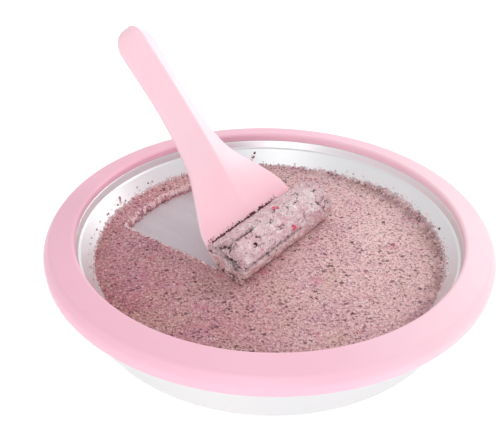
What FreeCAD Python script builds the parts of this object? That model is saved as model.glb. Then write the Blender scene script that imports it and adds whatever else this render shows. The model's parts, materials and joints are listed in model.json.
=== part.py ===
"""Round chilled pan for scraping ice cream into rolls, with its scraper.

Millimetres, +Z up. The origin is on the pan's axis, at the height that the feet
stand on. The scraper leans in the pan as it is used: it has pushed a bare track
through the frozen layer, and a curl of ice cream lies in front of its blade.
"""
import FreeCAD, Part
import math
import os

from FreeCAD import Vector

# ---- driving dimensions ----------------------------------------------------
RIM_RADIUS = 122.6          # widest radius of the trim ring
RIM_TOP = 48.9              # where the ring's top and inner wall would meet
RIM_SHOULDER = (119.2, 46.3)
RIM_BOTTOM = 36.0           # lower edge of the ring's skirt
RIM_BORE = 105.3            # radius of the opening inside the ring
RIM_WALL = 2.2

PAN_FLOOR = 26.0            # top face of the pan's floor
PAN_FLOOR_RADIUS = 93.0     # where the floor and the sloping wall would meet
PAN_WALL_SLOPE = 53.0       # degrees from horizontal
PAN_LEDGE = 39.1            # height of the small ledge above the sloping wall
PAN_FLANGE_TOP = 44.0
PAN_FLANGE_RADIUS = 113.4
PAN_SHEET = 1.2

BASE_UNDERSIDE = 1.2        # the feet stand this far proud of the base
BASE_BOTTOM_RADIUS = 101.0
BASE_TOP_RADIUS = 111.0
BASE_WALL = 2.2
FLANGE_RADIUS = 119.6
FLANGE_BOTTOM = 37.6         # inside the ring's skirt, which hides the screw heads
FLANGE_THICKNESS = 2.2
SEAT_TOP = 41.4             # what the gasket lies on
SEAT_INNER = 108.6
SEAT_OUTER = 113.6

GASKET_INNER = 109.2
GASKET_OUTER = 112.8

GEL_CLEARANCE = 0.2
GEL_TOP = 35.5              # filling height around the pan's wall
GEL_TOP_RADIUS = 107.9

SCREW_COUNT = 6
SCREW_CIRCLE = 116.6        # radius of the circle of screws
SCREW_RADIUS = 1.2
SCREW_HOLE = 1.6
SCREW_TIP = 44.2
SCREW_HEAD_RADIUS = 2.6
SCREW_HEAD = 1.5
SCREW_START = 30.0          # degrees
BOSS_RADIUS = 2.9
BOSS_TOP = 45.6

FOOT_RADIUS = 8.0
FOOT_CIRCLE = 78.0
FOOT_HEIGHT = 2.0
FOOT_CLEARANCE = 0.3

PLUG_AT = (0.0, 45.0)       # the filler hole, off the pan's axis
PLUG_RADIUS = 4.9
PLUG_HOLE = 5.0
PLUG_HEAD_RADIUS = 9.0
PLUG_HEAD = (1.6, 2.8)
PLUG_TOP = 9.4
PLUG_RECESS = (10.5, 3.6)   # radius, and height of the recess's roof
PLUG_BOSS = (12.7, 5.8)
PLUG_COLLAR = (7.2, 9.0)
COIN_SLOT = (12.0, 1.6, 0.7)
WASHER_INNER = 5.2
WASHER_OUTER = 8.6

LAYER_THICKNESS = 4.0
LAYER_BOTTOM_RADIUS = 91.0
LAYER_TOP_RADIUS = 95.8
TRACK_HALF_WIDTH = 41.2
TRACK_END_RADIUS = 85.3     # how near the wall the scraper starts
TRACK_FRONT = 2.4           # the uncut layer starts this far ahead of the blade

PUSH_DIRECTION = -36.87     # degrees from +X, the way the scraper is pushed
BLADE_AT = (-3.6, 17.2)     # middle of the blade's edge, in plan
BLADE_LIFT = 0.3            # gap between the blade's edge and the pan
SCRAPER_LEAN = 48.0         # degrees from horizontal
SCRAPER_LENGTH = 143.0
HANDLE_HALF_WIDTH = 13.9

# Sections along the scraper, from the blade's edge to the handle's end:
# distance along it, half width, back face, thickness at the sides, crest.
SCRAPER_SECTIONS = [
    (0.0, 39.0, 0.0, 0.8, 0.8),
    (12.0, 39.0, 0.0, 1.5, 1.5),
    (21.0, 37.8, 0.0, 1.8, 1.9),
    (28.0, 34.6, -0.2, 1.9, 2.2),
    (35.0, 30.4, -0.9, 2.0, 2.6),
    (42.0, 26.0, -1.9, 2.1, 3.2),
    (50.0, 20.9, -3.2, 2.2, 4.2),
    (58.0, 17.4, -4.3, 2.3, 5.0),
    (70.0, 14.8, -5.0, 2.4, 5.5),
    (84.0, 13.5, -5.0, 2.5, 5.8),
    (98.0, 12.9, -5.0, 2.5, 6.0),
    (114.0, 13.3, -5.0, 2.5, 6.0),
    (130.0, 13.9, -5.0, 2.5, 5.8),
    (146.0, 13.9, -5.0, 2.5, 5.4),
]
SECTION_SPACING = 4.0       # between the sections worked out from the table
CREST_HALF_WIDTH = 1.6
CREST_DROP = 0.35
HANDLE_WALL = 2.4
RIB_THICKNESS = 1.6
RIB_PITCH = 17.0
POCKET_START = 70.0
POCKET_END = 130.0

ROLL_RADIUS = 10.2
ROLL_AXIS = (11.2, 40.6)    # ahead of the blade's edge, and height
ROLL_ENDS = (-46.0, 38.0)   # along the blade from its middle
LIP_FACE = 2.3              # from the blade's back face to the curl
LIP_THICKNESS = 4.5
LIP_BOTTOM = 3.5
LIP_TOP = 14.5


# ---- helpers ---------------------------------------------------------------
def rounded_loop(points):
    """Closed wire in the XZ plane through (x, z) or (x, z, corner radius)."""
    edges = []
    starts = []
    ends = []
    count = len(points)
    for index in range(count):
        here = Vector(points[index][0], 0, points[index][1])
        before = Vector(points[index - 1][0], 0, points[index - 1][1])
        after = Vector(points[(index + 1) % count][0], 0, points[(index + 1) % count][1])
        radius = points[index][2] if len(points[index]) > 2 else 0.0
        if radius <= 0:
            starts.append(here)
            ends.append(here)
            continue
        back = (before - here).normalize()
        on = (after - here).normalize()
        half_angle = back.getAngle(on) / 2
        setback = radius / math.tan(half_angle)
        middle = (back + on).normalize()
        reach = radius / math.sin(half_angle) - radius
        starts.append(here + back * setback)
        ends.append(here + on * setback)
        edges.append(Part.Arc(starts[-1], here + middle * reach, ends[-1]).toShape())
    for index in range(count):
        here = ends[index]
        there = starts[(index + 1) % count]
        if here.distanceToPoint(there) > 1e-6:
            edges.append(Part.LineSegment(here, there).toShape())
    return Part.Wire(Part.__sortEdges__(edges))


def lathe(points):
    """Solid of revolution about Z from a closed outline of (radius, z, corner)."""
    return Part.Face(rounded_loop(points)).revolve(Vector(0, 0, 0), Vector(0, 0, 1), 360)


def offset_path(points, distance):
    """The path moved sideways to its right; corner radii follow the turn."""
    moved = []
    last = len(points) - 1
    for index, point in enumerate(points):
        corner = point[2] if len(point) > 2 else 0.0
        normals = []
        for first in (index - 1, index):
            if 0 <= first < last:
                dx = points[first + 1][0] - points[first][0]
                dz = points[first + 1][1] - points[first][1]
                size = math.hypot(dx, dz)
                normals.append((dz / size, -dx / size))
        if len(normals) == 1:
            x = point[0] + normals[0][0] * distance
            z = point[1] + normals[0][1] * distance
            moved.append((x, z))
            continue
        (ax, az), (bx, bz) = normals
        scale = distance / (1 + ax * bx + az * bz)
        turn = ax * bz - az * bx
        grown = corner + distance * (1 if turn > 0 else -1)
        new_corner = max(grown, 0.3) if corner else 0.0
        moved.append((point[0] + (ax + bx) * scale, point[1] + (az + bz) * scale, new_corner))
    return moved


def sheet_loop(path, thickness):
    """Closed outline of a wall: the path, and the same path moved to its right."""
    return list(path) + offset_path(path, thickness)[::-1]


def polar(radius, degrees, z=0.0):
    angle = math.radians(degrees)
    return Vector(radius * math.cos(angle), radius * math.sin(angle), z)


def cylinder(radius, bottom, top, at=(0.0, 0.0)):
    return Part.makeCylinder(radius, top - bottom, Vector(at[0], at[1], bottom))


def fuse_all(first, others):
    return first.fuse(list(others)).removeSplitter()


def write(node, shape):
    solids = shape.Solids
    if not shape.isValid():
        raise RuntimeError(node + " is not valid")
    out = solids[0] if len(solids) == 1 else Part.makeCompound(solids)
    out.exportStep("parts/" + node + ".step")
    print(node, len(solids), "solids", round(out.Volume / 1000, 2), "cm3")


# ---- the pan and its case --------------------------------------------------
def pan_path():
    """Upper face of the pan from its flange to the middle of its floor."""
    ledge_radius = PAN_FLOOR_RADIUS + (PAN_LEDGE - PAN_FLOOR) / math.tan(math.radians(PAN_WALL_SLOPE))
    return [
        (PAN_FLANGE_RADIUS, PAN_FLANGE_TOP),
        (RIM_BORE + 0.1, PAN_FLANGE_TOP, 0.9),
        (ledge_radius + 1.2, PAN_LEDGE + 0.6, 0.8),
        (ledge_radius, PAN_LEDGE, 0.6),
        (PAN_FLOOR_RADIUS, PAN_FLOOR, 3.5),
        (0.0, PAN_FLOOR),
    ]


def freezing_pan():
    path = pan_path()
    return lathe(list(path) + offset_path(path, -PAN_SHEET)[::-1])


def screw_places():
    step = 360.0 / SCREW_COUNT
    return [polar(SCREW_CIRCLE, SCREW_START + step * index) for index in range(SCREW_COUNT)]


def trim_ring():
    path = [
        (RIM_BORE, PAN_FLANGE_TOP),
        (RIM_BORE, RIM_TOP, 1.9),
        (RIM_SHOULDER[0], RIM_SHOULDER[1], 4.5),
        (RIM_RADIUS, 41.5, 5.0),
        (RIM_RADIUS - 0.4, RIM_BOTTOM),
    ]
    flange_top = FLANGE_BOTTOM + FLANGE_THICKNESS
    bosses = [cylinder(BOSS_RADIUS, flange_top, BOSS_TOP, (p.x, p.y)) for p in screw_places()]
    ring = fuse_all(lathe(sheet_loop(path, RIM_WALL)), bosses)
    pilots = [cylinder(SCREW_RADIUS, flange_top, SCREW_TIP + 0.6, (p.x, p.y)) for p in screw_places()]
    return ring.cut(pilots)


def foot_places():
    return {
        "foot_front_left": polar(FOOT_CIRCLE, 225),
        "foot_front_right": polar(FOOT_CIRCLE, 315),
        "foot_back_left": polar(FOOT_CIRCLE, 135),
        "foot_back_right": polar(FOOT_CIRCLE, 45),
    }


def base_shell():
    flange_top = FLANGE_BOTTOM + FLANGE_THICKNESS
    inside_floor = BASE_UNDERSIDE + BASE_WALL
    shell = lathe([
        (0.0, BASE_UNDERSIDE),
        (BASE_BOTTOM_RADIUS, BASE_UNDERSIDE, 8.0),
        (BASE_TOP_RADIUS, FLANGE_BOTTOM),
        (FLANGE_RADIUS, FLANGE_BOTTOM),
        (FLANGE_RADIUS, flange_top),
        (SEAT_OUTER, flange_top),
        (SEAT_OUTER, SEAT_TOP),
        (SEAT_INNER, SEAT_TOP),
        (SEAT_INNER, FLANGE_BOTTOM),
        (BASE_BOTTOM_RADIUS - BASE_WALL - 0.2, inside_floor, 6.0),
        (0.0, inside_floor),
    ])
    shell = fuse_all(shell, [
        cylinder(PLUG_BOSS[0], inside_floor - 0.5, PLUG_BOSS[1], PLUG_AT),
        cylinder(PLUG_COLLAR[0], PLUG_BOSS[1] - 0.5, PLUG_COLLAR[1], PLUG_AT),
    ])
    cuts = [
        cylinder(PLUG_RECESS[0], 0, PLUG_RECESS[1], PLUG_AT),
        cylinder(PLUG_HOLE, 0, PLUG_COLLAR[1] + 1, PLUG_AT),
    ]
    for place in screw_places():
        cuts.append(cylinder(SCREW_HOLE, FLANGE_BOTTOM - 1, flange_top + 1, (place.x, place.y)))
    for place in foot_places().values():
        cuts.append(cylinder(FOOT_RADIUS + FOOT_CLEARANCE, 0, FOOT_HEIGHT, (place.x, place.y)))
    return shell.cut(cuts)


def coolant_gel():
    """Gel that fills the space between the base and the pan's underside."""
    below_pan = PAN_FLOOR - PAN_SHEET - GEL_CLEARANCE
    slope = math.radians(PAN_WALL_SLOPE)
    off_wall = (PAN_SHEET + GEL_CLEARANCE) / math.sin(slope)
    inside_floor = BASE_UNDERSIDE + BASE_WALL + GEL_CLEARANCE
    gel = lathe([
        (0.0, inside_floor),
        (BASE_BOTTOM_RADIUS - BASE_WALL - 0.5, inside_floor, 6.0),
        (GEL_TOP_RADIUS, GEL_TOP),
        (PAN_FLOOR_RADIUS + off_wall + (GEL_TOP - PAN_FLOOR) / math.tan(slope), GEL_TOP),
        (PAN_FLOOR_RADIUS + off_wall + (below_pan - PAN_FLOOR) / math.tan(slope), below_pan),
        (0.0, below_pan),
    ])
    return gel.cut([
        cylinder(PLUG_BOSS[0] + GEL_CLEARANCE, 0, PLUG_BOSS[1] + GEL_CLEARANCE, PLUG_AT),
        cylinder(PLUG_COLLAR[0] + GEL_CLEARANCE, 0, PLUG_TOP + GEL_CLEARANCE, PLUG_AT),
    ])


def pan_gasket():
    """Flat silicone ring with a rounded outer lip, under the pan's flange."""
    top = PAN_FLANGE_TOP - PAN_SHEET
    return lathe([
        (GASKET_INNER, SEAT_TOP, 0.3),
        (GASKET_OUTER, SEAT_TOP, 0.3),
        (GASKET_OUTER, top, 0.3),
        (GASKET_INNER, top, 0.3),
    ])


def case_screws():
    """Six self-tapping screws, head down, through the base into the ring."""
    screws = []
    for place in screw_places():
        at = (place.x, place.y)
        head = cylinder(SCREW_HEAD_RADIUS, FLANGE_BOTTOM - SCREW_HEAD, FLANGE_BOTTOM, at)
        shank = cylinder(SCREW_RADIUS, FLANGE_BOTTOM - 0.5, SCREW_TIP, at)
        arm = Part.makeBox(3.0, 0.6, 0.8, Vector(at[0] - 1.5, at[1] - 0.3, FLANGE_BOTTOM - SCREW_HEAD))
        cross = arm.copy()
        cross.rotate(Vector(at[0], at[1], 0), Vector(0, 0, 1), 90)
        screws.append(head.fuse(shank).cut([arm, cross]).removeSplitter())
    return Part.makeCompound(screws)


def rubber_foot(place):
    disc = cylinder(FOOT_RADIUS, 0, FOOT_HEIGHT, (place.x, place.y))
    rim = [edge for edge in disc.Edges if len(edge.Vertexes) == 1 and edge.BoundBox.ZMax < 0.1]
    return disc.makeFillet(0.5, rim)


def filler_plug():
    head = cylinder(PLUG_HEAD_RADIUS, PLUG_HEAD[0], PLUG_HEAD[1], PLUG_AT)
    shank = cylinder(PLUG_RADIUS, PLUG_HEAD[0] + 0.5, PLUG_TOP, PLUG_AT)
    length, width, depth = COIN_SLOT
    corner = Vector(PLUG_AT[0] - length / 2, PLUG_AT[1] - width / 2, PLUG_HEAD[0])
    slot = Part.makeBox(length, width, depth, corner)
    return head.fuse(shank).removeSplitter().cut(slot)


def filler_washer():
    outer = cylinder(WASHER_OUTER, PLUG_HEAD[1], PLUG_RECESS[1], PLUG_AT)
    return outer.cut(cylinder(WASHER_INNER, PLUG_HEAD[1], PLUG_RECESS[1], PLUG_AT))


# ---- the scraper and the ice cream -----------------------------------------
def push_axis():
    return polar(1.0, PUSH_DIRECTION)


def along_blade():
    return polar(1.0, PUSH_DIRECTION + 90)


def scraper_frame():
    """Placement whose X runs along the blade, Y up the handle, Z out of its face."""
    lean = math.radians(SCRAPER_LEAN)
    x_axis = along_blade()
    y_axis = push_axis() * -math.cos(lean) + Vector(0, 0, math.sin(lean))
    z_axis = x_axis.cross(y_axis)
    at = Vector(BLADE_AT[0], BLADE_AT[1], PAN_FLOOR + BLADE_LIFT)
    return FreeCAD.Placement(at, FreeCAD.Rotation(x_axis, y_axis, z_axis, "XYZ"))


def push_frame():
    """Placement whose X runs along the push, Y along the blade, Z up."""
    return FreeCAD.Placement(
        Vector(BLADE_AT[0], BLADE_AT[1], 0),
        FreeCAD.Rotation(Vector(0, 0, 1), PUSH_DIRECTION),
    )


def section_wire(distance, half_width, back, side, crest):
    """One cross-section: flat back, short sides and a roof with a narrow crest."""
    shoulder = back + side
    rise = max(crest - shoulder, 0.0)
    crest_width = half_width * 0.4 if rise < 0.5 else CREST_HALF_WIDTH
    drop = min(CREST_DROP, rise * 0.3)
    outline = [
        (-half_width, back),
        (half_width, back),
        (half_width, shoulder),
        (crest_width, crest - drop),
        (0.0, crest),
        (-crest_width, crest - drop),
        (-half_width, shoulder),
    ]
    points = [Vector(x, distance, z) for x, z in outline]
    return Part.makePolygon(points + points[:1])


def section_at(place):
    """Half width, back, side and crest at a place along the scraper, by a smooth curve."""
    rows = SCRAPER_SECTIONS
    last = len(rows) - 1
    index = min(sum(1 for row in rows if row[0] <= place) - 1, last - 1)
    first, second = rows[index], rows[index + 1]
    before, after = rows[max(index - 1, 0)], rows[min(index + 2, last)]
    span = second[0] - first[0]
    t = (place - first[0]) / span
    values = []
    for column in range(1, len(first)):
        slope_in = (second[column] - before[column]) / (second[0] - before[0]) * span
        slope_out = (after[column] - first[column]) / (after[0] - first[0]) * span
        values.append(
            (2 * t ** 3 - 3 * t ** 2 + 1) * first[column]
            + (t ** 3 - 2 * t ** 2 + t) * slope_in
            + (3 * t ** 2 - 2 * t ** 3) * second[column]
            + (t ** 3 - t ** 2) * slope_out
        )
    return values


def even_places(start, end):
    """Places from start to end, about SECTION_SPACING apart."""
    count = math.ceil((end - start) / SECTION_SPACING)
    return [start + (end - start) * step / count for step in range(count + 1)]


def scraper():
    """Blade and hollow handle in one piece, with ribs across the hollow."""
    body_wires = [section_wire(place, *section_at(place)) for place in even_places(0.0, SCRAPER_LENGTH)]
    body = Part.makeLoft(body_wires, True, True)
    end_centre = Vector(0, SCRAPER_LENGTH - HANDLE_HALF_WIDTH, -20)
    keep = Part.makeBox(120, end_centre.y + 20, 60, Vector(-60, -20, -30))
    keep = keep.fuse(Part.makeCylinder(HANDLE_HALF_WIDTH, 60, end_centre))
    body = body.common(keep)
    pocket_wires = []
    for place in even_places(POCKET_START, POCKET_END):
        half_width, back, side, crest = section_at(place)
        pocket_wires.append(
            section_wire(place, half_width - HANDLE_WALL, back - 1, side, crest - HANDLE_WALL)
        )
    hollow = Part.makeLoft(pocket_wires, True, True)
    ribs = []
    place = POCKET_START + RIB_PITCH
    while place < POCKET_END:
        ribs.append(Part.makeBox(60, RIB_THICKNESS, 60, Vector(-30, place, -30)))
        place += RIB_PITCH
    body = body.cut(hollow.cut(ribs))
    body.Placement = scraper_frame()
    return body


def ice_cream_layer():
    """Frozen layer on the pan's floor, with the track that the scraper has cleared."""
    top = PAN_FLOOR + LAYER_THICKNESS
    layer = lathe([
        (0.0, PAN_FLOOR),
        (LAYER_BOTTOM_RADIUS, PAN_FLOOR),
        (LAYER_TOP_RADIUS, top),
        (0.0, top),
    ])
    length = 2 * RIM_RADIUS
    band = Part.makeBox(
        length, 2 * TRACK_HALF_WIDTH, 10, Vector(TRACK_FRONT - length, -TRACK_HALF_WIDTH, PAN_FLOOR - 1)
    )
    band.Placement = push_frame()
    track = band.common(cylinder(TRACK_END_RADIUS, PAN_FLOOR - 2, top + 2))
    return layer.cut(track)


def ice_cream_roll():
    """Curl in front of the blade: a lip that climbs the blade, and the roll."""
    lean = math.radians(SCRAPER_LEAN)

    def on_blade(along, out):
        x = -along * math.cos(lean) + out * math.sin(lean)
        z = PAN_FLOOR + BLADE_LIFT + along * math.sin(lean) + out * math.cos(lean)
        return (x, z)

    layer_top = PAN_FLOOR + LAYER_THICKNESS + 0.3
    lip = [
        on_blade(LIP_BOTTOM, LIP_FACE),
        (ROLL_AXIS[0], layer_top),
        (ROLL_AXIS[0], ROLL_AXIS[1]),
        on_blade(LIP_TOP - 4, LIP_FACE + LIP_THICKNESS + 1.5) + (1.0,),
        on_blade(LIP_TOP, LIP_FACE + LIP_THICKNESS) + (1.5,),
        on_blade(LIP_TOP, LIP_FACE) + (1.5,),
    ]
    lip_face = Part.Face(rounded_loop(lip))
    start = Vector(0, ROLL_ENDS[0], 0)
    length = ROLL_ENDS[1] - ROLL_ENDS[0]
    lip_face.translate(start)
    curl = Part.makeCylinder(
        ROLL_RADIUS, length, Vector(ROLL_AXIS[0], ROLL_ENDS[0], ROLL_AXIS[1]), Vector(0, 1, 0)
    )
    roll = curl.fuse(lip_face.extrude(Vector(0, length, 0))).removeSplitter()
    roll.Placement = push_frame()
    return roll


# ---- the assembly ----------------------------------------------------------
os.makedirs("parts", exist_ok=True)
write("base_shell", base_shell())
write("trim_ring", trim_ring())
write("freezing_pan", freezing_pan())
write("pan_gasket", pan_gasket())
write("coolant_gel", coolant_gel())
write("filler_plug", filler_plug())
write("filler_washer", filler_washer())
write("case_screws", case_screws())
for foot_name, foot_place in foot_places().items():
    write(foot_name, rubber_foot(foot_place))
write("scraper", scraper())
write("ice_cream_layer", ice_cream_layer())
write("ice_cream_roll", ice_cream_roll())
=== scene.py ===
"""Ice cream roll pan: the looks of the pan, its scraper and the ice cream in it."""
import json
import math
import random

import bmesh
import bpy
from bpy.props import FloatProperty, FloatVectorProperty, IntProperty, PointerProperty
from mathutils import Matrix, Vector, noise


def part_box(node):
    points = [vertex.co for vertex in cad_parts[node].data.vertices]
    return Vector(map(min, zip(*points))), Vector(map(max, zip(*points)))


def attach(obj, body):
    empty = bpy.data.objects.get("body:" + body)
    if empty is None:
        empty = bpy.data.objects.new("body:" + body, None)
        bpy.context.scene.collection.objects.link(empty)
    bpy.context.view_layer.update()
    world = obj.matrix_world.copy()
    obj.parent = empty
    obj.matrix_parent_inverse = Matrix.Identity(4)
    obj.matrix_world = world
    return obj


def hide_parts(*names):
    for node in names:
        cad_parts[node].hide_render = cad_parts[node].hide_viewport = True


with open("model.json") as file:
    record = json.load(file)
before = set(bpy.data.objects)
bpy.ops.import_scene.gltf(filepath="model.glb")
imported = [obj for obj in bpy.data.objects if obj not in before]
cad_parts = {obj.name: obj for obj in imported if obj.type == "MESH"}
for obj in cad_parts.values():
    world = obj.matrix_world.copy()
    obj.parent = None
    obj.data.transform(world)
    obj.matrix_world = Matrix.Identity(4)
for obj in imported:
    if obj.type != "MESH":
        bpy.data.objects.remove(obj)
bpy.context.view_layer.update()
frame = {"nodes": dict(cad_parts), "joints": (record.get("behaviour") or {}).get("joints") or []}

bl_info = {
    "name": "Ice Cream Roll Pan",
    "version": (1, 0, 0),
    "blender": (4, 5, 0),
    "location": "3D View > Sidebar > Roll Pan",
    "description": "Builds a chilled ice cream pan, its scraper and its contents around the packed frame",
    "category": "Object",
}

MM = 0.001
PAN_BODY = "pan_assembly"
SCRAPER_BODY = "scraper"
ROLL_BODY = "ice_cream_roll"

# Places that the frame gives, in millimetres.
RIM_LOW, RIM_HIGH = [[value / MM for value in corner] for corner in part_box("trim_ring")]
LAYER_LOW, LAYER_HIGH = [[value / MM for value in corner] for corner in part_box("ice_cream_layer")]
FLOOR_Z = LAYER_LOW[2]
LAYER_Z = LAYER_HIGH[2]
LIFT_JOINT = next(joint for joint in frame["joints"] if joint["name"] == "scraper_lift")
HANDLE_AXIS = Vector(LIFT_JOINT["axis"]).normalized()
PUSH = Vector((-HANDLE_AXIS.x, -HANDLE_AXIS.y, 0)).normalized()
BLADE = Vector((-PUSH.y, PUSH.x, 0))
FACE = BLADE.cross(HANDLE_AXIS)
LEAN = math.asin(HANDLE_AXIS.z)


def srgb(red, green, blue):
    """Linear colour from the 0-255 values that a colour picker shows."""
    def linear(value):
        value /= 255
        return value / 12.92 if value <= 0.04045 else ((value + 0.055) / 1.055) ** 2.4
    return (linear(red), linear(green), linear(blue))


# ---- settings ----------------------------------------------------------------
class RimSettings(bpy.types.PropertyGroup):
    """Trim ring and base."""
    radius: FloatProperty(name="Radius", description="Outer radius, mm", default=122.5, min=50)
    bore: FloatProperty(name="Bore", description="Radius of the opening, mm", default=105.3, min=40)
    wall: FloatProperty(name="Wall", description="Thickness of the moulding, mm", default=2.2, min=0.5)
    colour: FloatVectorProperty(
        name="Colour", description="Pink of the ring", subtype="COLOR", size=3, min=0, max=1,
        default=srgb(249, 199, 216))
    base_colour: FloatVectorProperty(
        name="Base colour", description="White of the base", subtype="COLOR", size=3, min=0, max=1,
        default=srgb(231, 229, 230))


class PanSettings(bpy.types.PropertyGroup):
    """Aluminium pan."""
    floor_radius: FloatProperty(name="Floor radius", description="Where floor and wall meet, mm",
                                default=93.0, min=20)
    slope: FloatProperty(name="Wall slope", description="Angle of the wall", default=math.radians(53),
                         subtype="ANGLE")
    ledge: FloatProperty(name="Ledge height", description="Height of the small ledge, mm", default=39.1)
    sheet: FloatProperty(name="Sheet", description="Thickness of the metal, mm", default=1.2, min=0.2)
    colour: FloatVectorProperty(
        name="Colour", description="Colour of the metal", subtype="COLOR", size=3, min=0, max=1,
        default=srgb(245, 247, 249))


class ScraperSettings(bpy.types.PropertyGroup):
    """One-piece moulded scraper."""
    length: FloatProperty(name="Length", description="Edge to handle's end, mm", default=143.0, min=50)
    handle_half: FloatProperty(name="Half width", description="Half width of the handle, mm", default=13.9)
    wall: FloatProperty(name="Wall", description="Wall of the hollow handle, mm", default=2.4)
    colour: FloatVectorProperty(
        name="Colour", description="Pink of the scraper", subtype="COLOR", size=3, min=0, max=1,
        default=srgb(255, 206, 219))


class IceCreamSettings(bpy.types.PropertyGroup):
    """Frozen layer and curl."""
    grid: FloatProperty(name="Grid", description="Spacing of the layer's mesh, mm", default=0.65, min=0.3)
    seed: IntProperty(name="Seed", description="Changes where the crumbs fall", default=7)
    dark: FloatVectorProperty(
        name="Dark colour", description="Darker part of the mix", subtype="COLOR", size=3, min=0, max=1,
        default=srgb(165, 82, 96))
    light: FloatVectorProperty(
        name="Light colour", description="Lighter part of the mix", subtype="COLOR", size=3, min=0, max=1,
        default=srgb(249, 210, 211))
    speck: FloatVectorProperty(
        name="Speck colour", description="Fruit skins and seeds", subtype="COLOR", size=3, min=0, max=1,
        default=srgb(78, 34, 46))
    fruit: FloatVectorProperty(
        name="Fruit colour", description="Bits of red fruit", subtype="COLOR", size=3, min=0, max=1,
        default=srgb(220, 62, 98))


class StageSettings(bpy.types.PropertyGroup):
    """Camera, lights and floor."""
    lens: FloatProperty(name="Lens", description="Focal length, mm", default=65.74, min=10)
    key: FloatProperty(name="Key light", description="Power of the lamp behind on the right, W", default=4.9, min=0)
    fill: FloatProperty(name="Fill light", description="Power of the lamp in front, W", default=3.5, min=0)
    world: FloatProperty(name="Surroundings", description="Brightness all round", default=0.73, min=0)


class RollPanSettings(bpy.types.PropertyGroup):
    """Everything that a user would change."""
    rim: PointerProperty(type=RimSettings)
    pan: PointerProperty(type=PanSettings)
    scraper: PointerProperty(type=ScraperSettings)
    ice_cream: PointerProperty(type=IceCreamSettings)
    stage: PointerProperty(type=StageSettings)


# ---- shader expressions --------------------------------------------------------
class Num:
    """A number in a material; arithmetic on it adds Math nodes."""

    def __init__(self, paint, socket):
        self.paint = paint
        self.socket = socket

    def _math(self, operation, *values):
        node = self.paint.node("ShaderNodeMath", {"operation": operation}, dict(enumerate(values)))
        return Num(self.paint, node.outputs[0])

    def __add__(self, other):
        return self._math("ADD", self, other)

    __radd__ = __add__

    def __sub__(self, other):
        return self._math("SUBTRACT", self, other)

    def __rsub__(self, other):
        return self._math("SUBTRACT", other, self)

    def __mul__(self, other):
        return self._math("MULTIPLY", self, other)

    __rmul__ = __mul__

    def __truediv__(self, other):
        return self._math("DIVIDE", self, other)

    def __rtruediv__(self, other):
        return self._math("DIVIDE", other, self)

    def __pow__(self, other):
        return self._math("POWER", self, other)

    def __gt__(self, other):
        return self._math("GREATER_THAN", self, other)

    def __lt__(self, other):
        return self._math("LESS_THAN", self, other)

    def at_least(self, other):
        return self._math("MAXIMUM", self, other)

    def at_most(self, other):
        return self._math("MINIMUM", self, other)

    def sine(self):
        return self._math("SINE", self)

    def ramp(self, low, high, to_low=0.0, to_high=1.0):
        """Smoothly from to_low at low to to_high at high, and level outside."""
        node = self.paint.node(
            "ShaderNodeMapRange", {"interpolation_type": "SMOOTHSTEP"},
            {0: self, 1: low, 2: high, 3: to_low, 4: to_high})
        return Num(self.paint, node.outputs[0])


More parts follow.
